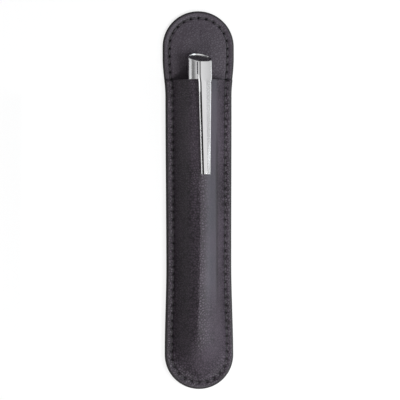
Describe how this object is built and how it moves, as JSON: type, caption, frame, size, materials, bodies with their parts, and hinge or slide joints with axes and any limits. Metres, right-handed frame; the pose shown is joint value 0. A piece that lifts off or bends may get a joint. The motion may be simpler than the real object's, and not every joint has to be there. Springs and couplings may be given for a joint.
{
  "type": "fountain pen case",
  "caption": "Stitched pebbled-leather sleeve with a round flap and one pocket, holding a fountain pen whose clip hooks over the pocket's mouth.",
  "frame": {"origin": "under the middle of the sleeve, on the surface that its back lies on", "axes": "+Y along the sleeve towards the flap, +Z out of the pocket side, +X to the right seen from the pocket side with the flap up"},
  "size_m": [0.0304, 0.16, 0.017],
  "materials": {
    "outer_leather": "pebbled, black",
    "board": "plain",
    "lining_leather": "fine pebble, black",
    "pocket_skiver": "thin smooth lining leather, black",
    "thread": "waxed twist, black",
    "plating": "mirror plated",
    "inlay": "gloss black",
    "plug": "machined",
    "steel": "spring strip",
    "liner": "moulded black",
    "grip": "gloss black",
    "nib_steel": "polished",
    "reservoir": "clear",
    "lacquer": "gloss black lacquer"
  },
  "bodies": {
    "case": {"back_panel": "outer_leather", "back_stiffener": "board", "back_lining": "lining_leather", "pocket_lining": "pocket_skiver", "front_panel": "outer_leather", "front_stitches": "thread", "back_stitches": "thread"},
    "barrel": {"barrel_ring": "plating", "barrel_tube": "lacquer", "tail_plug": "plating"},
    "section": {"grip_section": "grip", "section_collar": "plating", "nib": "nib_steel", "feed": "liner", "converter_tube": "reservoir", "converter_sleeve": "plating"},
    "piston": {"converter_piston": "liner"},
    "knob": {"converter_knob": "grip"},
    "cap": {"cap_tube": "plating", "cap_lip_ring": "plating", "cap_inlay": "inlay", "cap_head_plug": "plug", "clip_pivot_pin": "steel", "clip_spring": "steel", "inner_cap": "liner"},
    "clip": {"clip": "plating"}
  },
  "joints": [
    {"name": "pen_slide", "type": "slide", "parent": "case", "child": "barrel", "axis": [0, 1, 0], "range_m": [0, 0.118]},
    {"name": "barrel_unscrew", "type": "slide", "parent": "barrel", "child": "section", "axis": [0, 1, 0], "range_m": [0, 0.054]},
    {"name": "cap_pull", "type": "slide", "parent": "section", "child": "cap", "axis": [0, 1, 0], "range_m": [0, 0.046]},
    {"name": "clip_lift", "type": "hinge", "parent": "cap", "child": "clip", "pos_m": [0.00074, 0.0542, 0.01077], "axis": [-0.9744, 0, 0.225], "range_deg": [0, 4], "stiffness_Nm_per_rad": 0.5, "springref_deg": -2.86, "deforming": ["clip_spring"]},
    {"name": "knob_turn", "type": "hinge", "parent": "section", "child": "knob", "pos_m": [0, -0.045, 0.00755], "axis": [0, -1, 0], "range_deg": [0, 1170]},
    {"name": "piston_draw", "type": "slide", "parent": "section", "child": "piston", "axis": [0, -1, 0], "range_m": [0, 0.0131]}
  ],
  "couplings": [
    {"joint": "piston_draw", "follows": "knob_turn", "m_per_rad": 0.00063662}
  ]
}
